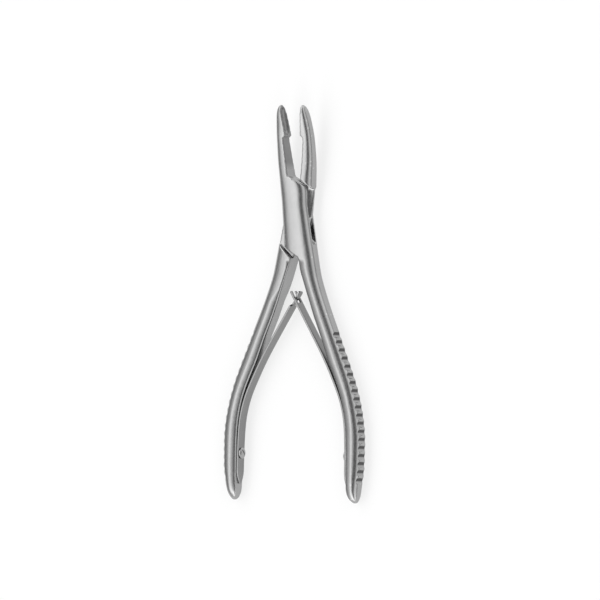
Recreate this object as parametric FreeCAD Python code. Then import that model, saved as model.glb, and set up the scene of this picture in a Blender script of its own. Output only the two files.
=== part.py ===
import FreeCAD, Part
import math
import os

# Bone rongeur with a box lock, lying on its back on a flat surface.
# The origin is on the pivot axis, in the flat rear face of the lock.
# +Y points to the jaws, +Z is up out of the front face and +X is to the right.
# All sizes are millimetres and all angles are degrees.

Vector = FreeCAD.Vector

# Overall thickness and the lock
body_thickness = 8.0
closing_angle = 12.0
closed_rim_angle = 0.2
shank_thickness = 2.6
shank_face_clearance = 0.06
shank_side_clearance = 0.2
shank_radius = 6.2
shoulder_gap = 0.3
pin_radius = 2.5
pin_running_clearance = 0.05

# Corners of the front and rear plates of the box, as (x, y)
plate_top_left = (-3.2, 17.6)
plate_top_right = (4.6, 13.7)
plate_low_left = (-5.9, -12.4)
crotch = (2.4, -17.2)
web_slant = 43.0

# Neck of the thin shank, seen with the jaws open, as (x, y)
upper_neck_end = (3.2, 15.8)
lower_neck_end = (-1.5, -17.2)
neck_foot_angle = 99.0

# Outlines of one half, as (y, distance from the middle line)
jaw_outer = [(18.0, 8.55), (24.6, 9.0), (30.0, 9.0), (34.9, 8.85), (40.0, 8.4),
             (43.0, 7.95), (45.1, 7.44), (46.6, 6.85), (47.5, 6.25), (48.0, 5.5)]
jaw_inner = [(16.9, 3.2), (24.6, 4.1), (34.0, 5.0)]
lock_jaw_side = [(-14.0, -5.9), (-7.0, -6.5), (0.0, -7.1), (7.0, -7.7), (14.0, -8.3)]
lock_handle_side = [(-14.0, 9.2), (-7.0, 7.9), (0.0, 6.6), (7.0, 5.6), (14.0, 4.6)]
handle_outer = [(-122.3, 32.4), (-122.0, 33.0), (-121.0, 33.5), (-119.0, 33.7), (-114.0, 33.9),
                (-108.9, 34.6), (-101.2, 34.9), (-93.5, 34.9), (-85.8, 34.0), (-78.1, 32.3),
                (-70.4, 29.9), (-62.7, 26.8), (-55.0, 23.5), (-47.3, 20.2), (-39.6, 16.9),
                (-34.4, 14.8), (-29.3, 12.9), (-24.2, 11.3), (-20.0, 10.4)]
handle_inner = [(-116.0, 27.5), (-108.0, 27.5), (-100.0, 27.5), (-90.0, 27.2), (-84.0, 26.4),
                (-75.9, 24.3), (-68.1, 21.1), (-61.5, 18.1), (-51.0, 14.0), (-42.1, 10.2),
                (-37.0, 8.3), (-31.9, 6.3), (-26.7, 4.4), (-21.6, 2.7), (-17.2, 2.4)]
handle_end_round = [(-122.4, 30.2), (-121.3, 28.9), (-119.0, 27.8)]

# Half thickness of the bar and the rise of the jaws, along y
half_height = [(-122.3, 1.0), (-122.0, 1.7), (-121.0, 2.7), (-119.0, 3.4), (-114.0, 3.75),
               (-105.0, 3.95), (-60.0, 4.0), (-17.0, 4.0), (-10.0, 4.15), (8.0, 4.15),
               (18.0, 3.7), (26.0, 3.2), (34.9, 2.85), (42.0, 2.75), (45.1, 2.45),
               (46.6, 1.9), (47.5, 1.25), (48.0, 0.5)]
jaw_rise = [(-122.3, 0.0), (4.0, 0.0), (14.0, 0.7), (24.0, 1.9), (34.0, 3.5), (41.0, 5.1),
            (48.0, 6.9)]
section_roundness = 2.7
section_points = 24
lock_sections = [-14.0, -7.0, 0.0, 7.0, 14.0]

# Cups of the jaws
cup_start = 34.95
cup_end = 47.2
cup_width = 4.4
cup_depth = 2.3
cup_fullness = 3.0
cup_profile_points = 9
step_length = 0.95

# Serrations on the outer faces of the handles
groove_count = 19
groove_first = -49.9
groove_last = -111.9
groove_radius = 1.9
groove_depth = 0.6

# Leaf springs and their screws
leaf_thickness = 1.15
leaf_seat_gap = 0.2
leaf_foot_width = 6.2
leaf_tip_width = 5.2
leaf_foot_end = -114.7
leaf_point_length = 5.2
leaf_point_fullness = 0.72
leaf_stations = 30
leaf_curve = [(26.15, -93.0), (25.0, -85.0), (22.5, -77.0), (19.25, -70.0), (15.0, -61.8),
              (10.1, -52.3), (2.7, -39.2), (0.0, -34.6), (-2.2, -30.8)]
fork_bottom = -38.4
fork_slot_width = 2.9
tongue_width = 2.2
tongue_head_width = 4.2
tongue_head_start = -32.4
spring_tip_round = 0.5
screw_y = -101.5
screw_radius = 1.25
screw_depth = 4.5
screw_hole_clearance = 0.2
screw_hole_lead = 1.0
screw_head_radius = 2.35
screw_rim_height = 0.3
screw_dome_height = 0.85
screw_head_clearance = 0.2
driver_slot_width = 0.55
driver_slot_depth = 0.5
driver_slot_turn = 35.0

# Lengths past the metal for cutting tools
reach = 60.0
past_tip = 5.0
past_handle_end = -130.0
mid_z = body_thickness / 2
same_point = 1e-6


def smooth(points, y):
    """Value at y on a curve through (y, value) points that never overshoots them."""
    if y <= points[0][0]:
        return points[0][1]
    if y >= points[-1][0]:
        return points[-1][1]
    slopes = [(b[1] - a[1]) / (b[0] - a[0]) for a, b in zip(points, points[1:])]
    tangents = [slopes[0]]
    for before, after in zip(slopes, slopes[1:]):
        same_way = before * after > 0
        tangents.append(2 * before * after / (before + after) if same_way else 0.0)
    tangents.append(slopes[-1])
    index = 0
    while points[index + 1][0] < y:
        index += 1
    start, end = points[index], points[index + 1]
    span = end[0] - start[0]
    t = (y - start[0]) / span
    rising = 3 * t ** 2 - 2 * t ** 3
    start_turn = t ** 3 - 2 * t ** 2 + t
    end_turn = t ** 3 - t ** 2
    value = start[1] + (end[1] - start[1]) * rising
    return value + span * (tangents[index] * start_turn + tangents[index + 1] * end_turn)


def turned(point, angle):
    """A point (x, y) turned about the pivot."""
    cosine = math.cos(math.radians(angle))
    sine = math.sin(math.radians(angle))
    return (point[0] * cosine - point[1] * sine, point[0] * sine + point[1] * cosine)


def along(start, end, distance):
    """The point at a distance from start, on the line from start to end."""
    length = math.hypot(end[0] - start[0], end[1] - start[1])
    share = distance / length
    return (start[0] + (end[0] - start[0]) * share, start[1] + (end[1] - start[1]) * share)


def moved_out(start, end, distance):
    """The line from start to end, moved away from the pivot."""
    length = math.hypot(end[0] - start[0], end[1] - start[1])
    normal = ((end[1] - start[1]) / length, (start[0] - end[0]) / length)
    if normal[0] * start[0] + normal[1] * start[1] < 0:
        normal = (-normal[0], -normal[1])
    shift = (normal[0] * distance, normal[1] * distance)
    return ((start[0] + shift[0], start[1] + shift[1]), (end[0] + shift[0], end[1] + shift[1]))


def prism(corners, low=-reach, high=reach):
    """An upright solid over a closed outline of (x, y) corners."""
    wire = Part.makePolygon([Vector(x, y, low) for x, y in corners + corners[:1]])
    return Part.Face(wire).extrude(Vector(0, 0, high - low))


def spline_edge(points):
    """A smooth edge through (x, y) points."""
    curve = Part.BSplineCurve()
    curve.interpolate([Vector(x, y, -reach) for x, y in points])
    return curve.toShape()


def spline_prism(curve_points, corners):
    """An upright solid whose outline is one smooth curve closed by straight lines."""
    edges = [spline_edge(curve_points)]
    path = [curve_points[-1]] + corners + [curve_points[0]]
    for start, end in zip(path, path[1:]):
        edges.append(Part.LineSegment(Vector(*start, -reach), Vector(*end, -reach)).toShape())
    return Part.Face(Part.Wire(edges)).extrude(Vector(0, 0, 2 * reach))


def mirrored(shape):
    return shape.mirror(Vector(0, 0, 0), Vector(1, 0, 0))


def flipped(points):
    """Points (x, y) of the right side, brought to the left."""
    return [(-x, y) for x, y in points]


def rim_x(y):
    """Distance of the cutting rim from the middle line, with the jaws open."""
    rim_angle = (closing_angle + closed_rim_angle) / 2
    return y * math.tan(math.radians(rim_angle))


def bar_section(y):
    """Rounded cross-section of the bar that both halves are forged from."""
    if y <= handle_outer[-1][0]:
        centre = smooth(handle_inner, y)
        half_width = smooth(handle_outer, y) - centre
    elif y >= jaw_outer[0][0]:
        inner = rim_x(y) if y > cup_start else smooth(jaw_inner, y)
        centre = -inner
        half_width = smooth(jaw_outer, y) - inner
    else:
        jaw_side = smooth(lock_jaw_side, y)
        handle_side = smooth(lock_handle_side, y)
        centre = (jaw_side + handle_side) / 2
        half_width = (handle_side - jaw_side) / 2
    centre_z = mid_z + smooth(jaw_rise, y)
    half_depth = smooth(half_height, y)
    points = []
    for index in range(section_points):
        angle = 2 * math.pi * index / section_points
        across = math.copysign(abs(math.cos(angle)) ** (2 / section_roundness), math.cos(angle))
        upward = math.copysign(abs(math.sin(angle)) ** (2 / section_roundness), math.sin(angle))
        points.append(Vector(centre + half_width * across, y, centre_z + half_depth * upward))
    curve = Part.BSplineCurve()
    places = [float(index) for index in range(section_points + 1)]
    curve.interpolate(Points=points, PeriodicFlag=True, Parameters=places)
    return Part.Wire(curve.toShape())


def forged_bar():
    """The whole bar from the right handle to the left jaw, before the lock is cut."""
    stations = sorted([y for y, outer in handle_outer + jaw_outer] + lock_sections)
    bar = Part.makeLoft([bar_section(y) for y in stations], True, False)
    shaved_off = Part.makeBox(4 * reach, 6 * reach, reach, Vector(-2 * reach, -3 * reach, -reach))
    return bar.cut(shaved_off)


def handle_inner_points():
    """Flat inner face of the right handle, from the crotch to the rounded end, as (x, y)."""
    points = [(x, y) for y, x in handle_end_round + handle_inner]
    return points[::-1]


def jaw_inner_corners(last):
    """Inner face of the left jaw from past the tip down to a last corner, as (x, y)."""
    beyond = jaw_outer[-1][0] + past_tip
    corners = [(-rim_x(beyond), beyond), (-rim_x(cup_start), cup_start)]
    step_y = cup_start - step_length
    corners.append((-smooth(jaw_inner, step_y), step_y))
    corners.extend((-x, y) for y, x in jaw_inner[1::-1])
    return corners + [last]


def cup_hollow():
    """Spoon-shaped hollow whose open side lies in the cutting rim of the left jaw."""
    half_length = (cup_end - cup_start) / 2
    points = []
    for index in range(cup_profile_points):
        angle = math.pi * index / (cup_profile_points - 1)
        along_cup = -half_length * math.cos(angle)
        share = abs(math.cos(angle)) ** cup_fullness
        points.append(Vector(0, along_cup, cup_width / 2 * math.sqrt(1 - share)))
    curve = Part.BSplineCurve()
    curve.interpolate(points)
    axis_line = Part.LineSegment(points[-1], points[0])
    face = Part.Face(Part.Wire([curve.toShape(), axis_line.toShape()]))
    hollow = face.revolve(Vector(0, 0, 0), Vector(0, 1, 0), 360)
    scaling = FreeCAD.Matrix()
    scaling.scale(Vector(cup_depth / (cup_width / 2), 1, 1))
    hollow = hollow.transformGeometry(scaling)
    middle = (cup_start + cup_end) / 2
    rise = smooth(jaw_rise, cup_end) - smooth(jaw_rise, cup_start)
    tilt = math.degrees(math.atan2(rise, cup_end - cup_start))
    hollow.rotate(Vector(0, 0, 0), Vector(1, 0, 0), tilt)
    hollow.rotate(Vector(0, 0, 0), Vector(0, 0, 1), math.degrees(math.atan2(rim_x(middle), middle)))
    centre_z = mid_z + (smooth(jaw_rise, cup_start) + smooth(jaw_rise, cup_end)) / 2
    hollow.translate(Vector(-rim_x(middle), middle, centre_z))
    return hollow


def handle_grooves():
    """Round cutters that leave the serrations on the right handle."""
    cutters = []
    pitch = (groove_last - groove_first) / (groove_count - 1)
    for index in range(groove_count):
        y = groove_first + index * pitch
        step = 0.5
        slope = (smooth(handle_outer, y + step) - smooth(handle_outer, y - step)) / (2 * step)
        length = math.hypot(1, slope)
        stand_off = groove_radius - groove_depth
        x = smooth(handle_outer, y) + stand_off / length
        centre = Vector(x, y - stand_off * slope / length, -reach)
        cutters.append(Part.makeCylinder(groove_radius, 2 * reach, centre))
    return cutters


def screw_hole():
    """Hole for the spring screw, in from the inner face of the right handle."""
    face_x = smooth(handle_inner, screw_y)
    start = Vector(face_x - screw_hole_lead, screw_y, mid_z)
    length = screw_hole_lead + screw_depth
    return Part.makeCylinder(screw_radius, length, start, Vector(1, 0, 0))


def neck_foot():
    """Point where the upper neck of the shank leaves its round boss."""
    angle = math.radians(neck_foot_angle)
    return (shank_radius * math.cos(angle), shank_radius * math.sin(angle))


def slot_outline():
    """Outline of the slot through the box: the room the shank needs from open to closed."""
    foot = turned(neck_foot(), closing_angle)
    upper = turned(upper_neck_end, closing_angle)
    lower = turned(lower_neck_end, closing_angle)
    upper_corner = (foot[0] - shank_side_clearance, foot[1] + shank_side_clearance)
    lower_corner = (-upper_corner[0], -upper_corner[1])
    upper_wall = (upper[0] - shank_side_clearance, upper[1])
    lower_wall = (lower[0] + shank_side_clearance, lower[1])
    slant = (math.cos(math.radians(web_slant)) * reach, math.sin(math.radians(web_slant)) * reach)
    return [along(upper_corner, upper_wall, reach / 2), (reach, reach / 2),
            (lower_corner[0] + slant[0], lower_corner[1] - slant[1]), lower_corner,
            lower_wall, (lower_wall[0], -reach / 2), (-reach, -reach / 2),
            (upper_corner[0] - slant[0], upper_corner[1] + slant[1]), upper_corner]


def female_half(bar):
    """Left jaw, right handle and the two plates of the box with the slot between them."""
    beyond = jaw_outer[-1][0] + past_tip
    edge_end = along(plate_top_left, plate_top_right, reach)
    jaw_side = prism(jaw_inner_corners(plate_top_left) + [edge_end, (reach, beyond)])
    edge_start = along(crotch, plate_low_left, reach)
    corners = [(handle_end_round[0][1], past_handle_end), (-reach, past_handle_end), edge_start]
    handle_side = spline_prism([crotch] + handle_inner_points()[1:], corners)
    slot_low = mid_z - shank_thickness / 2 - shank_face_clearance
    slot_high = mid_z + shank_thickness / 2 + shank_face_clearance
    slot = prism(slot_outline(), slot_low, slot_high)
    pin_hole = Part.makeCylinder(pin_radius, 2 * reach, Vector(0, 0, -reach))
    cutters = [jaw_side, handle_side, slot, pin_hole, cup_hollow(), screw_hole()]
    return bar.cut(cutters + handle_grooves())


def male_half(bar):
    """Right jaw, left handle and the thin shank that turns in the slot."""
    blank = mirrored(bar)
    foot = neck_foot()
    lower_foot = (-foot[0], -foot[1])
    boss = Part.makeCylinder(shank_radius, 2 * reach, Vector(0, 0, -reach))
    beyond = jaw_outer[-1][0] + past_tip
    jaw_face = flipped(jaw_inner_corners(flipped([upper_neck_end])[0]))
    jaw_side = prism(jaw_face + [foot, (foot[0], 0), (-reach, 0), (-reach, beyond)])
    handle_face = flipped(handle_inner_points()[1:])
    corners = [(handle_face[-1][0], past_handle_end), (reach, past_handle_end), (reach, 0),
               (lower_foot[0], 0), lower_foot]
    handle_side = spline_prism([lower_neck_end] + handle_face, corners)
    half = blank.cut([jaw_side.cut(boss), handle_side.cut(boss)])
    upper = [turned(plate_top_left, -closing_angle), turned(plate_top_right, -closing_angle)]
    lower = [turned(plate_low_left, -closing_angle), turned(crotch, -closing_angle)]
    upper = moved_out(*upper, shoulder_gap)
    lower = moved_out(*lower, shoulder_gap)
    strip = [along(upper[1], upper[0], reach), along(upper[0], upper[1], reach),
             along(lower[0], lower[1], reach), along(lower[1], lower[0], reach)]
    shank_low = mid_z - shank_thickness / 2
    shank_high = mid_z + shank_thickness / 2
    room_behind = prism(strip, -reach, shank_low)
    room_in_front = prism(strip, shank_high, reach)
    hole_radius = pin_radius + pin_running_clearance
    pin_hole = Part.makeCylinder(hole_radius, 2 * reach, Vector(0, 0, -reach))
    cutters = [room_behind, room_in_front, pin_hole, mirrored(cup_hollow()), mirrored(screw_hole())]
    return half.cut(cutters + [mirrored(cutter) for cutter in handle_grooves()])


def lock_pin(bar):
    """Pin through the box, ground flush with the outer faces of both plates."""
    rod = Part.makeCylinder(pin_radius, 2 * reach, Vector(0, 0, -reach))
    return rod.common(bar)


def leaf_middle():
    """Middle line of the right leaf spring, from its foot to its tip, as (x, y)."""
    foot_x = smooth(handle_inner, screw_y) - leaf_seat_gap - leaf_thickness / 2
    foot = [(foot_x, leaf_foot_end), (foot_x, leaf_foot_end / 2 + screw_y / 2)]
    return foot + [(foot_x, screw_y)] + leaf_curve


def leaf_blank():
    """The bent strip of the right leaf spring, wider than the finished leaf."""
    curve = Part.BSplineCurve()
    curve.interpolate([Vector(x, y, 0) for x, y in leaf_middle()])
    sides = {1: [], -1: []}
    for index in range(leaf_stations + 1):
        share = index / leaf_stations
        place = curve.FirstParameter + share * (curve.LastParameter - curve.FirstParameter)
        point = curve.value(place)
        direction = curve.tangent(place)[0]
        for side, points in sides.items():
            offset = side * leaf_thickness / 2
            points.append((point.x - direction.y * offset, point.y + direction.x * offset))
    edges = [spline_edge(sides[1]), spline_edge(sides[-1])]
    for index in (0, -1):
        start, end = sides[1][index], sides[-1][index]
        edges.append(Part.LineSegment(Vector(*start, -reach), Vector(*end, -reach)).toShape())
    outline = Part.Wire(Part.__sortEdges__(edges))
    return Part.Face(outline).extrude(Vector(0, 0, 2 * reach))


def leaf_pattern(half_outline):
    """Solid along X over a leaf's outline, given as (y, half width) from foot to tip."""
    upper = [Vector(-reach, y, mid_z + half) for y, half in half_outline]
    lower = [Vector(-reach, y, mid_z - half) for y, half in reversed(half_outline)]
    corners = []
    for corner in upper + lower:
        if not corners or not corner.isEqual(corners[-1], same_point):
            corners.append(corner)
    if not corners[0].isEqual(corners[-1], same_point):
        corners.append(corners[0])
    return Part.Face(Part.makePolygon(corners)).extrude(Vector(2 * reach, 0, 0))


def leaf_foot_outline():
    """Half widths of both leaves from the pointed foot to the bottom of the fork."""
    half = leaf_foot_width / 2
    return [(leaf_foot_end, 0.0),
            (leaf_foot_end + leaf_point_length / 2, half * leaf_point_fullness),
            (leaf_foot_end + leaf_point_length, half),
            (screw_y + leaf_point_length, half), (fork_bottom, leaf_tip_width / 2)]


def leaf_screw_hole():
    start = Vector(0, screw_y, mid_z)
    return Part.makeCylinder(screw_radius + screw_hole_clearance, reach, start, Vector(1, 0, 0))


def right_leaf_spring():
    """Leaf on the right handle, with a fork at its tip."""
    tip_y = leaf_curve[-1][1]
    half = leaf_tip_width / 2
    outline = leaf_foot_outline()
    outline += [(tip_y - spring_tip_round, half), (tip_y, half - spring_tip_round)]
    leaf = leaf_blank().common(leaf_pattern(outline))
    slot_half = fork_slot_width / 2
    slot_length = 2 * (tip_y - fork_bottom)
    slot_start = Vector(-reach, fork_bottom + slot_half, mid_z - slot_half)
    slot = Part.makeBox(2 * reach, slot_length, fork_slot_width, slot_start)
    slot_end = Vector(-reach, fork_bottom + slot_half, mid_z)
    slot_bottom = Part.makeCylinder(slot_half, 2 * reach, slot_end, Vector(1, 0, 0))
    return leaf.cut([slot, slot_bottom, leaf_screw_hole()])


def left_leaf_spring():
    """Leaf on the left handle, with a headed tongue that lies in the fork."""
    tip_y = leaf_curve[-1][1]
    half = tongue_width / 2
    head_half = tongue_head_width / 2
    outline = leaf_foot_outline()
    outline += [(fork_bottom + half, half), (tongue_head_start, half)]
    outline += [(tongue_head_start + spring_tip_round, head_half),
                (tip_y - spring_tip_round, head_half), (tip_y, head_half - spring_tip_round)]
    leaf = leaf_blank().common(leaf_pattern(outline))
    return mirrored(leaf.cut(leaf_screw_hole()))


def right_spring_screw():
    """Round-headed screw that holds the right leaf on its handle."""
    face_x = smooth(handle_inner, screw_y)
    under_head = face_x - leaf_seat_gap - leaf_thickness - screw_head_clearance
    rim = under_head - screw_rim_height
    top = rim - screw_dome_height
    dome_radius = (screw_head_radius ** 2 + screw_dome_height ** 2) / (2 * screw_dome_height)
    half_angle = math.asin(screw_head_radius / dome_radius) / 2
    dome_middle = Vector(top + dome_radius * (1 - math.cos(half_angle)),
                         dome_radius * math.sin(half_angle), 0)
    rim_start = Vector(rim, screw_head_radius, 0)
    dome = Part.Arc(Vector(top, 0, 0), dome_middle, rim_start).toShape()
    corners = [rim_start, Vector(under_head, screw_head_radius, 0),
               Vector(under_head, screw_radius, 0), Vector(face_x + screw_depth, screw_radius, 0),
               Vector(face_x + screw_depth, 0, 0), Vector(top, 0, 0)]
    wire = Part.Wire([dome] + Part.makePolygon(corners).Edges)
    screw = Part.Face(wire).revolve(Vector(0, 0, 0), Vector(1, 0, 0), 360)
    screw.translate(Vector(0, screw_y, mid_z))
    slot_start = Vector(top - reach + driver_slot_depth, screw_y - reach / 2,
                        mid_z - driver_slot_width / 2)
    slot = Part.makeBox(reach, reach, driver_slot_width, slot_start)
    slot.rotate(Vector(0, screw_y, mid_z), Vector(1, 0, 0), driver_slot_turn)
    return screw.cut(slot)


def main():
    os.makedirs("parts", exist_ok=True)
    bar = forged_bar()
    right_screw = right_spring_screw()
    nodes = {
        "female_half": female_half(bar),
        "male_half": male_half(bar),
        "lock_pin": lock_pin(bar),
        "right_leaf_spring": right_leaf_spring(),
        "left_leaf_spring": left_leaf_spring(),
        "right_spring_screw": right_screw,
        "left_spring_screw": mirrored(right_screw),
    }
    for name, shape in nodes.items():
        shape.exportStep("parts/" + name + ".step")
        print(name, len(shape.Solids), round(shape.Volume, 1), shape.isValid())


main()
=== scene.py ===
import bpy
import math
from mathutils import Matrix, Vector


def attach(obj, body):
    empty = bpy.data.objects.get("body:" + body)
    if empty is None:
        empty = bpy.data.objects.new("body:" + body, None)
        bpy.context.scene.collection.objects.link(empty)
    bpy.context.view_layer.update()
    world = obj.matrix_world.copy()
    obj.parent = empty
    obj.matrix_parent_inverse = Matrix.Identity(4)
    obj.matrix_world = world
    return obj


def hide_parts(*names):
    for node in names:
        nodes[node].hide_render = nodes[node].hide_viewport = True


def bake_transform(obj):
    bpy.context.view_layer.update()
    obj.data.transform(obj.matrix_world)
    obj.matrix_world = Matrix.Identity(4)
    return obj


# A bone rongeur of satin stainless steel, lying on a white table.
# Sizes are written in millimetres and turned to metres by MM. Tables give the right side of
# the tool, and the left side is the same with x turned round.
MM = 0.001

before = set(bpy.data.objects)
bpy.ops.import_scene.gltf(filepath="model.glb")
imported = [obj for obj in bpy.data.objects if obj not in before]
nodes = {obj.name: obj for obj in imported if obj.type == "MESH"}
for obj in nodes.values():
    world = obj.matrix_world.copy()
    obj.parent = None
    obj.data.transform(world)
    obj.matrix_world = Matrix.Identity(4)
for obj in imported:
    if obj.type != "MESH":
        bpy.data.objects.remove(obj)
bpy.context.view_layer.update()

# Height of the middle plane of the lock, the handles and the springs
MIDDLE_HEIGHT = 4.0

# Corners of a CAD node nearer than this are one, and faces of the springs and screws that meet
# at less than this angle are shaded as one
MERGE_DISTANCE = 0.001
SMOOTH_ANGLE = 30.0

# Grain of the remade halves, and the rounds of polish on their edges
HALF_VOXEL = 0.28
POLISH_FACTOR = 0.5
FIRST_POLISH_ROUNDS = 2
HANDLE_POLISH_ROUNDS = 7
INNER_EDGE_ROUNDS = 8
SHANK_EDGE_ROUNDS = 40

# Cups and cutting rims start here and stay crisp
JAW_POLISH_END = 33.0

# Inner edges of the handles, where the flat inner face meets the front and the back, as (y, x)
INNER_EDGE = [(-116.0, 27.5), (-108.0, 27.5), (-100.0, 27.5), (-90.0, 27.2), (-84.0, 26.4),
              (-75.9, 24.3), (-68.1, 21.1), (-61.5, 18.1), (-51.0, 14.0), (-42.1, 10.2),
              (-37.0, 8.3), (-31.9, 6.3), (-26.7, 4.4), (-21.6, 2.7), (-17.6, 2.4)]
INNER_EDGE_LOW = INNER_EDGE[0][0] - 4.0
INNER_EDGE_TOP = INNER_EDGE[-1][0]
INNER_EDGE_HEIGHT = 3.5
INNER_EDGE_REACH = 1.1
INNER_EDGE_FADE = 0.6

# Fall of the handle's front and back towards the inner edge
CROWN_WIDTH = 3.6
CROWN_FALL = 0.95
CROWN_POWER = 1.4
CROWN_BASE = 0.5
CROWN_RISE = 2.5
CROWN_LOCK_FADE = 1.5

# Neck of the left handle, where it leaves the lock, and the share of polish and fall it gets
NECK_LOW = -36.0
NECK_FADE = 8.0
NECK_TOP = -10.0
NECK_POLISH = 0.12
NECK_CROWN = 0.36

# Thin shank, where it shows beside the lock
SHANK_LOW = -2.0
SHANK_TOP = 12.6
SHANK_HALF = 1.7
SHANK_EDGE_X = 5.3
SHANK_SLOPE_START = 4.6
SHANK_SLOPE_WIDTH = 2.4
SHANK_SLOPE_FALL = 1.15
SHANK_SLOPE_MARGIN = 0.3

# Grooves on the outer faces of the handles, and the outer edge that they are filed into, as (y, x)
GROOVE_FIRST = -49.9
GROOVE_LAST = -111.9
GROOVE_COUNT = 19
GROOVE_PITCH = (GROOVE_FIRST - GROOVE_LAST) / (GROOVE_COUNT - 1)
GROOVE_RADIUS = 1.45
GROOVE_DEPTH = 1.1
GROOVE_FILE_LENGTH = 20.0
GROOVE_FILE_SIDES = 40
GROOVE_BAND_MARGIN = 2.0
GROOVE_BAND_INSET = 4.0
OUTER_EDGE = [(-114.0, 33.9), (-108.9, 34.6), (-101.2, 34.9), (-93.5, 34.9), (-85.8, 34.0),
              (-78.1, 32.3), (-70.4, 29.9), (-62.7, 26.8), (-55.0, 23.5), (-47.3, 20.2)]

# Rounding of the handle ends, in rows at an even pitch from past the end towards the lock, as
# (share of the width kept, share of the depth kept, shift towards the middle, shift to the
# back, shift towards the lock)
END_ROWS = [(0.1, 0.15, 0.9, 1.8, 0.9), (0.42, 0.5, 0.6, 1.2, 0.75), (0.78, 0.84, 0.3, 0.5, 0.4),
            (0.91, 0.94, 0.1, 0.15, 0.1), (0.96, 0.98, 0.0, 0.0, 0.0), (0.99, 1.0, 0.0, 0.0, 0.0),
            (1.0, 1.0, 0.0, 0.0, 0.0), (1.0, 1.0, 0.0, 0.0, 0.0), (1.0, 1.0, 0.0, 0.0, 0.0)]
END_FIRST = -125.0
END_PITCH = 3.0
END_LAST = END_FIRST + END_PITCH * (len(END_ROWS) - 1)
END_MIDDLE_X = 30.9
END_BOX_WIDTH = 12.0
END_BOX_DEPTH = 10.0

# Middle line of a leaf spring, from the pointed foot to the crossed tip, as (x, y)
LEAF_PATH = [(27.15, -114.6), (27.15, -108.0), (27.1, -100.0), (26.75, -90.0), (25.9, -84.0),
             (23.9, -76.9), (21.0, -70.7), (16.6, -61.8), (10.9, -52.3), (2.7, -39.2),
             (0.0, -34.8), (-1.9, -31.6)]
LEAF_LINE_STEPS = 12
LEAF_THICKNESS = 0.85
LEAF_EDGE_ROUND = 0.22
LEAF_EDGE_STEPS = 3
LEAF_EDGE_ANGLE = 50.0

# Half widths of a leaf: its point as (distance from the foot, half width), and its two kinds
# of tip as (distance before the end, half width)
LEAF_POINT = [(0.0, 0.3), (0.5, 0.75), (1.3, 1.25), (2.6, 1.85), (4.0, 2.25)]
LEAF_POINT_LENGTH = 5.4
LEAF_FOOT_HALF = 2.45
LEAF_TIP_HALF = 2.6
LEAF_STEPS = 44
FORK_TIP = [(5.8, 2.6), (4.6, 2.6), (3.4, 2.6), (2.0, 2.58), (0.8, 2.5), (0.0, 2.1)]
TONGUE_TIP = [(7.4, 2.55), (6.6, 1.0), (5.2, 0.95), (3.8, 0.95), (3.1, 1.0), (2.6, 1.65),
              (1.0, 1.65), (0.3, 1.4), (0.0, 0.9)]
FORK_SLOT_SHARE = 0.52

# The screw heads, sunk down on to the thinner leaves
SCREW_SHIFT = 0.45
SCREW_BREAK = 0.08
SCREW_BREAK_STEPS = 2
SCREW_BREAK_ANGLE = 40.0

# Look of the steel: size of its soft clouds, detail of clouds and grain, what counts as an edge or a
# hollow, how much paler the edges are painted, partly for wear and partly as a painted highlight, and
# how much painted shade darkens the hollows
CLOUD_SIZE = 7.0
NOISE_DETAIL = 3.0
EDGE_SHAPE = (0.515, 0.58)
HOLLOW_SHAPE = (0.49, 0.44)
EDGE_WEAR_AND_HIGHLIGHT = 0.3
EDGE_SMOOTHNESS = 0.08
HOLLOW_SHADE = 0.6
WORN_AND_HIGHLIGHT_COLOUR = "#d4d4d4"
PAINTED_SHADE_COLOUR = "#3a3a3a"

# The brushed grain: the range of noise that it uses, how far it sways the roughness, and how
# strongly it dents the surface
GRAIN_RANGE = (0.3, 0.7)
GRAIN_SPREAD = 0.03
GRAIN_STRENGTH = 0.15

# Where the painted shade lies on the walls of the grooves, each from where it begins to where it is
# full: how far the walls face outwards, how level they are, their place in each pitch, and the first
# and the last pitch of the band
GROOVE_OUTWARDS = (0.3, 0.5)
GROOVE_UPRIGHT = (0.6, 0.3)
GROOVE_START = (0.08, 0.2)
GROOVE_STOP = (0.66, 0.42)
GROOVE_BAND_START = (-0.05, 0.05)
GROOVE_BAND_STOP = (GROOVE_COUNT + 0.05, GROOVE_COUNT - 0.05)
GROOVE_SHADE = 0.92

# The cups and the steps behind them, which get painted shade and are rougher: how far they face
# outwards, and where they start
CUP_INWARDS = (-0.15, -0.45)
CUP_FOOT = 20.0
CUP_HEEL = 24.0
CUP_SHADE = 0.25
CUP_ROUGHNESS = 0.25

# The table, and the brightness of the tent round the tool as (degrees from straight up towards
# the right, level)
TABLE_SIZE = 4000.0
TABLE_COLOUR = "#f6f6f6"
TABLE_GLOW = 0.72
TENT = [(-90, 0.3), (-67, 0.4), (-52, 0.9), (-37, 1.55), (-26, 1.95), (-16, 1.6), (-7, 0.85),
        (1, 0.2), (12, 0.1), (21, 0.3), (32, 0.85), (44, 1.2), (56, 1.15), (66, 0.8), (78, 0.45),
        (90, 0.4)]
TENT_BRIGHTEST = max(level for angle, level in TENT)
TENT_END_GAIN = 1.0

# The photograph's frame: its width on the object, the point at its centre and its turn
PHOTO_WIDTH = 256.7
PHOTO_CENTRE = (1.5, -35.3, MIDDLE_HEIGHT)
VIEW_TURN = math.radians(32.0)
VIEW_ROLL = math.radians(1.1)
CAMERA_DISTANCE = 4000.0
CAMERA_REACH = 20000.0


def linear(hex_colour):
    """An sRGB hex colour as linear red, green, blue and alpha."""
    channels = []
    for start in (1, 3, 5):
        value = int(hex_colour[start:start + 2], 16) / 255
        if value <= 0.04045:
            channels.append(value / 12.92)
        else:
            channels.append(((value + 0.055) / 1.055) ** 2.4)
    return (*channels, 1.0)


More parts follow.
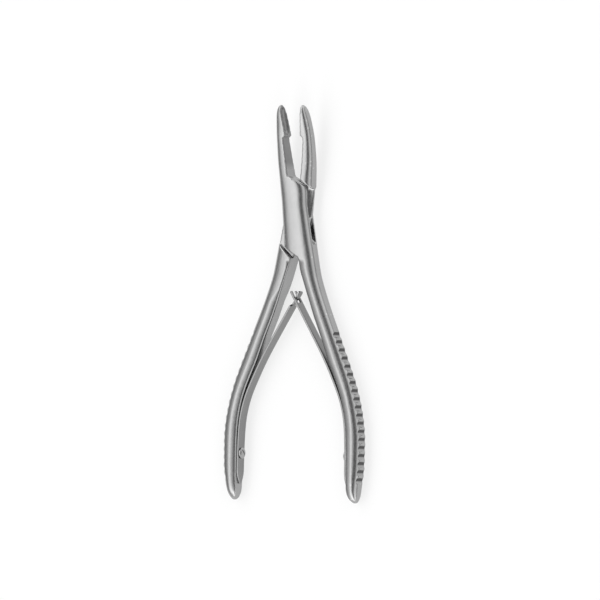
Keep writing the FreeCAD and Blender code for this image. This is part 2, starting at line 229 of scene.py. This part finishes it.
def add_node(tree, kind, settings):
    """Adds a node and fills its settings and sockets, each with a value or with a link."""
    node = tree.nodes.new(kind)
    for name, value in settings.items():
        if isinstance(value, bpy.types.NodeSocket):
            tree.links.new(value, node.inputs[name])
        elif isinstance(name, int) or name in node.inputs:
            node.inputs[name].default_value = value
        else:
            setattr(node, name, value)
    return node


def empty_material(name):
    material = bpy.data.materials.new(name)
    material.use_nodes = True
    material.node_tree.nodes.clear()
    return material


def mask_of(tree, full, limits):
    """A mask that is full where each value has gone from its first limit past its second."""
    mask = full
    for value, (start, end) in limits:
        mask = add_node(tree, "ShaderNodeMapRange",
                        {"interpolation_type": "SMOOTHSTEP", "Value": value, "From Min": start,
                         "From Max": end, "To Max": mask}).outputs["Result"]
    return mask


def painted_shade_places(tree, texture):
    """The limits of the places that get painted shade: groove walls, and cups with their steps.

    The walls face outwards and stand upright, at an even pitch along the handle. The cups are
    the faces of the jaws that look inwards."""
    place = add_node(tree, "ShaderNodeSeparateXYZ", {0: texture["Object"]}).outputs
    facing = add_node(tree, "ShaderNodeSeparateXYZ", {0: texture["Normal"]}).outputs
    side = add_node(tree, "ShaderNodeMath", {"operation": "SIGN", 0: place["X"]}).outputs[0]
    outwards = add_node(tree, "ShaderNodeMath",
                        {"operation": "MULTIPLY", 0: side, 1: facing["X"]}).outputs[0]
    level = add_node(tree, "ShaderNodeMath", {"operation": "ABSOLUTE", 0: facing["Z"]}).outputs[0]
    steps = add_node(tree, "ShaderNodeMath",
                     {"operation": "MULTIPLY_ADD", 0: place["Y"], 1: -1 / (GROOVE_PITCH * MM),
                      2: GROOVE_FIRST / GROOVE_PITCH + 0.5}).outputs[0]
    share = add_node(tree, "ShaderNodeMath", {"operation": "FRACT", 0: steps}).outputs[0]
    walls = [(outwards, GROOVE_OUTWARDS), (level, GROOVE_UPRIGHT), (share, GROOVE_START),
             (share, GROOVE_STOP), (steps, GROOVE_BAND_START), (steps, GROOVE_BAND_STOP)]
    cups = [(outwards, CUP_INWARDS), (place["Y"], (CUP_FOOT * MM, CUP_HEEL * MM))]
    return walls, cups


def satin_steel(name, dark, light, roughness, grit, bump_height, brush_stretch, forging=False):
    """Stainless steel blasted with fine glass beads and lightly brushed along its length.

    The beads leave an even soft sheen and the brush a faint lengthwise grain. Handling has polished
    the edges, so they are smoother, and they are painted a little paler than the faces, partly for
    wear and partly as a painted highlight. Painted shade darkens the hollows, and on a forging also
    the walls of the grooves and the cups, which are also rougher. The grain is drawn coarser than the
    real grit, so that it shows."""
    material = empty_material(name)
    tree = material.node_tree
    texture = add_node(tree, "ShaderNodeTexCoord", {}).outputs
    stretched = add_node(tree, "ShaderNodeMapping",
                         {"Vector": texture["Object"], "Scale": (1.0, brush_stretch, 1.0)}).outputs[0]
    clouds = add_node(tree, "ShaderNodeTexNoise",
                      {"Vector": texture["Object"], "Scale": 1 / (CLOUD_SIZE * MM),
                       "Detail": NOISE_DETAIL}).outputs["Fac"]
    grain = add_node(tree, "ShaderNodeTexNoise",
                     {"Vector": stretched, "Scale": 1 / (grit * MM),
                      "Detail": NOISE_DETAIL}).outputs["Fac"]
    shape = add_node(tree, "ShaderNodeNewGeometry", {}).outputs["Pointiness"]
    satin = add_node(tree, "ShaderNodeMapRange",
                     {"interpolation_type": "SMOOTHSTEP", "Value": grain,
                      "From Min": GRAIN_RANGE[0], "From Max": GRAIN_RANGE[1],
                      "To Min": roughness - GRAIN_SPREAD,
                      "To Max": roughness + GRAIN_SPREAD}).outputs["Result"]
    smoother = mask_of(tree, EDGE_SMOOTHNESS, [(shape, EDGE_SHAPE)])
    rough = add_node(tree, "ShaderNodeMath",
                     {"operation": "SUBTRACT", 0: satin, 1: smoother}).outputs[0]
    # Painted shade in the hollows, where the surface curves in
    shade = mask_of(tree, HOLLOW_SHADE, [(shape, HOLLOW_SHAPE)])
    # Painted shade on the walls of the grooves and in the cups, and the cups made rougher
    if forging:
        walls, cups = painted_shade_places(tree, texture)
        for full, limits in ((GROOVE_SHADE, walls), (CUP_SHADE, cups)):
            shade = add_node(tree, "ShaderNodeMath",
                             {"operation": "MAXIMUM", 0: shade,
                              1: mask_of(tree, full, limits)}).outputs[0]
        rough = add_node(tree, "ShaderNodeMath",
                         {"operation": "ADD", 0: rough,
                          1: mask_of(tree, CUP_ROUGHNESS, cups)}).outputs[0]
    colour = linear(dark)
    # The edges are painted paler, partly for wear and partly as a painted highlight
    worn = mask_of(tree, EDGE_WEAR_AND_HIGHLIGHT, [(shape, EDGE_SHAPE)])
    for share, tint in ((clouds, light), (worn, WORN_AND_HIGHLIGHT_COLOUR), (shade, PAINTED_SHADE_COLOUR)):
        colour = add_node(tree, "ShaderNodeMix",
                          {"data_type": "RGBA", "Factor": share, 6: colour,
                           7: linear(tint)}).outputs[2]
    bump = add_node(tree, "ShaderNodeBump",
                    {"Strength": GRAIN_STRENGTH, "Distance": bump_height * MM,
                     "Height": grain}).outputs["Normal"]
    steel = add_node(tree, "ShaderNodeBsdfPrincipled",
                     {"Metallic": 1.0, "Base Color": colour, "Roughness": rough, "Normal": bump})
    add_node(tree, "ShaderNodeOutputMaterial", {"Surface": steel.outputs["BSDF"]})
    return material


def white_table():
    """Matt white table top, lit from behind as a light table is.

    Most of its white is its own light, which the camera and the steel see, so the shadow of
    the tool stays but is faint."""
    material = empty_material("matt_white_light_table")
    tree = material.node_tree
    rays = add_node(tree, "ShaderNodeLightPath", {}).outputs
    seen = 0.0
    for ray in ("Is Camera Ray", "Is Glossy Ray", "Is Transmission Ray"):
        seen = add_node(tree, "ShaderNodeMath",
                        {"operation": "MAXIMUM", 0: seen, 1: rays[ray]}).outputs[0]
    share = add_node(tree, "ShaderNodeMath",
                     {"operation": "MULTIPLY", 0: seen, 1: TABLE_GLOW}).outputs[0]
    matt = add_node(tree, "ShaderNodeBsdfDiffuse", {"Color": linear(TABLE_COLOUR)}).outputs["BSDF"]
    glow = add_node(tree, "ShaderNodeEmission", {"Strength": 1.0}).outputs["Emission"]
    both = add_node(tree, "ShaderNodeMixShader", {0: share, 1: matt, 2: glow}).outputs[0]
    add_node(tree, "ShaderNodeOutputMaterial", {"Surface": both})
    return material


def select_only(*pieces):
    bpy.ops.object.select_all(action="DESELECT")
    for piece in pieces:
        piece.select_set(True)
    bpy.context.view_layer.objects.active = pieces[0]


def apply_modifier(piece, kind, **settings):
    modifier = piece.modifiers.new(kind.lower(), kind)
    for name, value in settings.items():
        setattr(modifier, name, value)
    select_only(piece)
    bpy.ops.object.modifier_apply(modifier=modifier.name)


def merged_copy(node_name, name):
    """A copy of a CAD node whose loose triangles are merged, ready to be worked on."""
    piece = bpy.data.objects.new(name, nodes[node_name].data.copy())
    bpy.context.collection.objects.link(piece)
    select_only(piece)
    bpy.ops.mesh.customdata_custom_splitnormals_clear()
    bpy.ops.object.mode_set(mode="EDIT")
    bpy.ops.mesh.select_all(action="SELECT")
    bpy.ops.mesh.remove_doubles(threshold=MERGE_DISTANCE * MM)
    bpy.ops.object.mode_set(mode="OBJECT")
    return piece


def finish_piece(piece, material, smooth_angle=None):
    piece.data.materials.clear()
    piece.data.materials.append(material)
    select_only(piece)
    if smooth_angle is None:
        bpy.ops.object.shade_smooth()
    else:
        bpy.ops.object.shade_smooth_by_angle(angle=math.radians(smooth_angle))


def from_table(table, y):
    """Value at y on straight lines between a table's (y, value) points."""
    for (y0, x0), (y1, x1) in zip(table, table[1:]):
        if y0 <= y <= y1:
            return x0 + (x1 - x0) * (y - y0) / (y1 - y0)
    return table[0][1] if y < table[0][0] else table[-1][1]


def file_grooves(piece, side):
    """Files the grooves of the handle's outer face as deep as the real ones."""
    stand_off = GROOVE_RADIUS - GROOVE_DEPTH
    files = []
    for index in range(GROOVE_COUNT):
        y = GROOVE_FIRST - index * GROOVE_PITCH
        slope = (from_table(OUTER_EDGE, y + 1) - from_table(OUTER_EDGE, y - 1)) / 2
        length = math.hypot(1, slope)
        x = side * (from_table(OUTER_EDGE, y) + stand_off / length)
        place = (x * MM, (y - stand_off * slope / length) * MM, MIDDLE_HEIGHT * MM)
        bpy.ops.mesh.primitive_cylinder_add(vertices=GROOVE_FILE_SIDES, radius=GROOVE_RADIUS * MM,
                                            depth=GROOVE_FILE_LENGTH * MM, location=place)
        files.append(bpy.context.object)
    select_only(*files)
    bpy.ops.object.join()
    apply_modifier(piece, "BOOLEAN", operation="DIFFERENCE", object=files[0], solver="EXACT")
    bpy.data.objects.remove(files[0])


def round_handle_end(piece, side):
    """Draws the end of the handle in to a rounded point with a lattice."""
    lattice = bpy.data.lattices.new("handle_end_cage")
    lattice.points_u = 2
    lattice.points_v = len(END_ROWS)
    lattice.points_w = 2
    lattice.interpolation_type_v = "KEY_BSPLINE"
    cage = bpy.data.objects.new("handle_end_cage", lattice)
    bpy.context.collection.objects.link(cage)
    cage.location = (side * END_MIDDLE_X * MM, (END_FIRST + END_LAST) / 2 * MM, MIDDLE_HEIGHT * MM)
    cage.scale = (END_BOX_WIDTH * MM, END_PITCH * MM, END_BOX_DEPTH * MM)
    for index, point in enumerate(lattice.points):
        width, depth, inward, back, shorter = END_ROWS[(index // 2) % len(END_ROWS)]
        x, y, z = point.co
        point.co_deform = (x * width - side * inward / END_BOX_WIDTH, y + shorter / END_PITCH,
                           z * depth - back / END_BOX_DEPTH)
    group = piece.vertex_groups.new(name="handle_end")
    group.add([vertex.index for vertex in piece.data.vertices
               if vertex.co.y < END_LAST * MM], 1.0, "REPLACE")
    bpy.context.view_layer.update()
    apply_modifier(piece, "LATTICE", object=cage, vertex_group=group.name)
    bpy.data.objects.remove(cage)


def weigh(piece, name, weight_of):
    """A group that says how much a tool acts at each point of a piece.

    The weight is worked out from the distance to the middle line, y and the height above the
    middle plane."""
    group = piece.vertex_groups.new(name=name)
    for vertex in piece.data.vertices:
        x, y, z = (value / MM for value in vertex.co)
        weight = weight_of(abs(x), y, z - MIDDLE_HEIGHT)
        if weight > 0:
            group.add([vertex.index], min(weight, 1.0), "REPLACE")


def lower_faces(piece, name, fall, weight_of):
    """Brings the front and the back nearer to each other where weight_of says."""
    for face, up in (("front", 1), ("back", -1)):
        group = name + "_" + face
        weigh(piece, group, lambda x, y, height: weight_of(x, y, up * height))
        apply_modifier(piece, "DISPLACE", direction="Z", mid_level=0.0, strength=-up * fall * MM,
                       vertex_group=group)


def polish_share(y, side):
    """How much the edges are worn round at y: little on the neck of the left handle."""
    if side > 0 or not NECK_LOW < y < NECK_TOP:
        return 1.0
    return max(NECK_POLISH, 1.0 - (y - NECK_LOW) / NECK_FADE)


def crown_handle(piece, side):
    """Lets the front and the back of the handle fall away towards its inner edge."""
    def crown(x, y, height):
        if not INNER_EDGE_LOW < y < INNER_EDGE_TOP or height < CROWN_BASE:
            return 0.0
        fullness = max(NECK_CROWN, polish_share(y, side))
        gap = (x - from_table(INNER_EDGE, y)) / (CROWN_WIDTH * fullness)
        if gap >= 1.0:
            return 0.0
        raised = min(1.0, (height - CROWN_BASE) / CROWN_RISE)
        near_lock = min(1.0, (INNER_EDGE_TOP - y) / CROWN_LOCK_FADE)
        return min(1.0, 1.0 - gap) ** CROWN_POWER * raised * near_lock * fullness

    lower_faces(piece, "crown", CROWN_FALL, crown)


def slope_shank(piece):
    """Slopes the thin shank's front and back down to its edge, where it shows beside the lock."""
    def slope(x, y, height):
        if not SHANK_LOW < y < SHANK_TOP or not 0.0 < height < SHANK_HALF + SHANK_SLOPE_MARGIN:
            return 0.0
        share = min(1.0, (x - SHANK_SLOPE_START) / SHANK_SLOPE_WIDTH)
        return share * height / SHANK_HALF

    lower_faces(piece, "shank", SHANK_SLOPE_FALL, slope)


def polish_edges(piece, side):
    """Rounds the edges of the handles and the lock, the inner edges of the handles most.

    The grooves and the cups keep their crisp edges."""
    def handle(x, y, height):
        in_band = GROOVE_LAST - GROOVE_BAND_MARGIN < y < GROOVE_FIRST + GROOVE_BAND_MARGIN
        grooved = in_band and x > from_table(INNER_EDGE, y) + GROOVE_BAND_INSET
        return polish_share(y, side) if y < JAW_POLISH_END and not grooved else 0.0

    def inner_edge(x, y, height):
        if not INNER_EDGE_LOW < y < INNER_EDGE_TOP:
            return 0.0
        gap = math.hypot(x - from_table(INNER_EDGE, y), abs(height) - INNER_EDGE_HEIGHT)
        return min(1.0, (INNER_EDGE_REACH - gap) / INNER_EDGE_FADE) * polish_share(y, side)

    def shank_edge(x, y, height):
        beside_lock = SHANK_LOW < y < SHANK_TOP and x > SHANK_EDGE_X
        return 1.0 if beside_lock and abs(height) < SHANK_HALF else 0.0

    passes = [("handle_edges", handle, HANDLE_POLISH_ROUNDS),
              ("inner_edges", inner_edge, INNER_EDGE_ROUNDS),
              ("shank_edge", shank_edge, SHANK_EDGE_ROUNDS)]
    # All are weighed before the first of them moves the surface
    for name, weight_of, rounds in passes:
        weigh(piece, name, weight_of)
    for name, weight_of, rounds in passes:
        apply_modifier(piece, "SMOOTH", factor=POLISH_FACTOR, iterations=rounds, vertex_group=name)


def refined_half(name, node_names, side):
    """One half of the tool, with its edges polished round as on the real one.

    The lock pin is ground flush and polished over, so it is one surface with its half."""
    copies = [merged_copy(node_name, name) for node_name in node_names]
    select_only(*copies)
    if len(copies) > 1:
        bpy.ops.object.join()
    piece = copies[0]
    file_grooves(piece, side)
    round_handle_end(piece, side)
    apply_modifier(piece, "REMESH", mode="VOXEL", voxel_size=HALF_VOXEL * MM)
    apply_modifier(piece, "SMOOTH", factor=POLISH_FACTOR, iterations=FIRST_POLISH_ROUNDS)
    crown_handle(piece, side)
    if side < 0:
        slope_shank(piece)
    polish_edges(piece, side)
    finish_piece(piece, forged)
    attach(piece, name.replace("_refined", ""))
    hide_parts(*node_names)
    return piece


def leaf_line(side):
    """Middle line of a leaf spring as a curve that a strip is bent along."""
    curve = bpy.data.curves.new("leaf_line", "CURVE")
    curve.dimensions = "2D"
    curve.resolution_u = LEAF_LINE_STEPS
    spline = curve.splines.new("NURBS")
    spline.points.add(len(LEAF_PATH) - 1)
    for point, (x, y) in zip(spline.points, LEAF_PATH):
        point.co = (side * x * MM, y * MM, 0.0, 1.0)
    spline.order_u = 4
    spline.use_endpoint_u = True
    line = bpy.data.objects.new("leaf_line", curve)
    bpy.context.collection.objects.link(line)
    return line


def line_length(line):
    mesh = bpy.data.meshes.new_from_object(line)
    points = [vertex.co.copy() for vertex in mesh.vertices]
    bpy.data.meshes.remove(mesh)
    return sum((b - a).length for a, b in zip(points, points[1:])) / MM


def widths_of_leaf(length, tip):
    """Rows of the flat leaf from foot to tip, as (distance, half width)."""
    rows = LEAF_POINT + [(LEAF_POINT_LENGTH, LEAF_FOOT_HALF)]
    straight = length - tip[0][0] - LEAF_POINT_LENGTH
    for index in range(1, LEAF_STEPS):
        share = index / LEAF_STEPS
        rows.append((LEAF_POINT_LENGTH + share * straight,
                     LEAF_FOOT_HALF + share * (LEAF_TIP_HALF - LEAF_FOOT_HALF)))
    return rows + [(length - before, half) for before, half in tip]


def cut_fork_slot(piece, slot_start):
    """Deletes the faces of the flat leaf between the two prongs of its fork."""
    select_only(piece)
    bpy.ops.object.mode_set(mode="EDIT")
    bpy.ops.mesh.select_all(action="DESELECT")
    bpy.ops.object.mode_set(mode="OBJECT")
    slot_half = FORK_SLOT_SHARE * LEAF_TIP_HALF
    for face in piece.data.polygons:
        in_slot = abs(face.center.z / MM - MIDDLE_HEIGHT) < slot_half
        face.select = in_slot and face.center.x / MM > slot_start
    bpy.ops.object.mode_set(mode="EDIT")
    bpy.ops.mesh.select_mode(type="FACE")
    bpy.ops.mesh.delete(type="FACE")
    bpy.ops.object.mode_set(mode="OBJECT")


def leaf_spring(name, node_name, side, tip):
    """A leaf spring cut flat, bent along its line and rounded on its edges."""
    line = leaf_line(side)
    length = line_length(line)
    rows = widths_of_leaf(length, tip)
    columns = (-1.0, -FORK_SLOT_SHARE, 0.0, FORK_SLOT_SHARE, 1.0)
    bpy.ops.object.select_all(action="DESELECT")
    bpy.ops.mesh.primitive_grid_add(x_subdivisions=len(rows) - 1, y_subdivisions=len(columns) - 1,
                                    size=1.0, location=(0, 0, 0))
    piece = bpy.context.object
    piece.name = name
    for vertex in piece.data.vertices:
        distance, half = rows[round((vertex.co.x + 0.5) * (len(rows) - 1))]
        column = columns[round((vertex.co.y + 0.5) * (len(columns) - 1))]
        vertex.co = (distance * MM, 0.0, (MIDDLE_HEIGHT + column * half) * MM)
    if tip is FORK_TIP:
        cut_fork_slot(piece, length - tip[0][0])
    apply_modifier(piece, "SOLIDIFY", thickness=LEAF_THICKNESS * MM, offset=0.0)
    apply_modifier(piece, "BEVEL", width=LEAF_EDGE_ROUND * MM, segments=LEAF_EDGE_STEPS,
                   limit_method="ANGLE", angle_limit=math.radians(LEAF_EDGE_ANGLE))
    apply_modifier(piece, "CURVE", object=line, deform_axis="POS_X")
    bpy.data.objects.remove(line)
    bpy.ops.object.mode_set(mode="EDIT")
    bpy.ops.mesh.select_all(action="SELECT")
    bpy.ops.mesh.normals_make_consistent(inside=False)
    bpy.ops.object.mode_set(mode="OBJECT")
    finish_piece(piece, leaf, SMOOTH_ANGLE)
    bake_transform(piece)
    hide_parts(node_name)
    return piece


def spring_screw(name, node_name, side, body):
    """The screw's head sits down on the leaf, and its rim and slot are deburred."""
    piece = merged_copy(node_name, name)
    bpy.ops.object.mode_set(mode="EDIT")
    bpy.ops.mesh.select_all(action="SELECT")
    bpy.ops.transform.translate(value=(side * SCREW_SHIFT * MM, 0, 0))
    bpy.ops.object.mode_set(mode="OBJECT")
    apply_modifier(piece, "BEVEL", width=SCREW_BREAK * MM, segments=SCREW_BREAK_STEPS,
                   limit_method="ANGLE", angle_limit=math.radians(SCREW_BREAK_ANGLE))
    finish_piece(piece, turned, SMOOTH_ANGLE)
    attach(piece, body)
    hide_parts(node_name)
    return piece


def lay_table():
    bpy.ops.object.select_all(action="DESELECT")
    bpy.ops.mesh.primitive_plane_add(size=TABLE_SIZE * MM, location=(0, 0, 0))
    table = bpy.context.object
    table.name = "table"
    table.data.materials.append(white_table())


def light_studio():
    """A tent along the tool, bright on the left and the right of a dark gap above it.

    It is also brighter towards the two ends of the tool."""
    world = bpy.data.worlds.new("studio")
    bpy.context.scene.world = world
    world.use_nodes = True
    tree = world.node_tree
    background = tree.nodes["Background"]
    direction = add_node(tree, "ShaderNodeTexCoord", {}).outputs["Generated"]
    axes = add_node(tree, "ShaderNodeSeparateXYZ", {0: direction}).outputs
    lean = add_node(tree, "ShaderNodeMath",
                    {"operation": "ARCTAN2", 0: axes["X"], 1: axes["Z"]}).outputs[0]
    share = add_node(tree, "ShaderNodeMapRange",
                     {"Value": lean, "From Min": -math.pi / 2, "From Max": math.pi / 2}).outputs[0]
    ramp = add_node(tree, "ShaderNodeValToRGB", {"Fac": share})
    stops = ramp.color_ramp.elements
    while len(stops) < len(TENT):
        stops.new(0.5)
    for stop, (angle, level) in zip(stops, TENT):
        stop.position = (angle + 90) / 180
        shade = level / TENT_BRIGHTEST
        stop.color = (shade, shade, shade, 1.0)
    ends = add_node(tree, "ShaderNodeMath",
                    {"operation": "MULTIPLY", 0: axes["Y"], 1: axes["Y"]}).outputs[0]
    strength = add_node(tree, "ShaderNodeMath",
                        {"operation": "MULTIPLY_ADD", 0: ends, 1: TENT_END_GAIN * TENT_BRIGHTEST,
                         2: TENT_BRIGHTEST}).outputs[0]
    tree.links.new(ramp.outputs["Color"], background.inputs["Color"])
    tree.links.new(strength, background.inputs["Strength"])


def aim_camera():
    bpy.context.scene.view_settings.view_transform = "Standard"
    camera = bpy.data.cameras.new("camera")
    holder = bpy.data.objects.new("camera", camera)
    bpy.context.collection.objects.link(holder)
    camera.lens = camera.sensor_width * CAMERA_DISTANCE / PHOTO_WIDTH
    camera.clip_end = CAMERA_REACH * MM
    centre = Vector(PHOTO_CENTRE) * MM
    backward = Vector((math.sin(VIEW_TURN), 0, math.cos(VIEW_TURN)))
    holder.location = centre + backward * CAMERA_DISTANCE * MM
    along_tool = Vector((0, 1, 0))
    across_tool = along_tool.cross(backward)
    up = along_tool * math.cos(VIEW_ROLL) - across_tool * math.sin(VIEW_ROLL)
    right = up.cross(backward)
    matrix = holder.matrix_world.copy()
    for row in range(3):
        matrix[row][0] = right[row]
        matrix[row][1] = up[row]
        matrix[row][2] = backward[row]
        matrix[row][3] = holder.location[row]
    holder.matrix_world = matrix
    bpy.context.scene.camera = holder


# The forged halves are blasted and brushed, the leaves are cut from rolled strip and painted darker,
# as painted shade for the dark reflections on them, and the screw heads are turned, which leaves no
# lengthwise grain
forged = satin_steel("bead_blasted_stainless_steel", dark="#a2a2a2", light="#acacac",
                     roughness=0.24, grit=0.3, bump_height=0.002, brush_stretch=0.25,
                     forging=True)
leaf = satin_steel("rolled_spring_steel", dark="#868686", light="#919191",
                   roughness=0.22, grit=0.25, bump_height=0.002, brush_stretch=0.12)
turned = satin_steel("turned_stainless_steel", dark="#a0a0a0", light="#acacac",
                     roughness=0.2, grit=0.25, bump_height=0.001, brush_stretch=1.0)

refined_half("female_half_refined", ["female_half", "lock_pin"], 1)
refined_half("male_half_refined", ["male_half"], -1)
leaf_spring("forked_leaf", "right_leaf_spring", 1, FORK_TIP)
leaf_spring("tongued_leaf", "left_leaf_spring", -1, TONGUE_TIP)
spring_screw("right_screw_head", "right_spring_screw", 1, "female_half")
spring_screw("left_screw_head", "left_spring_screw", -1, "male_half")
lay_table()
light_studio()
aim_camera()
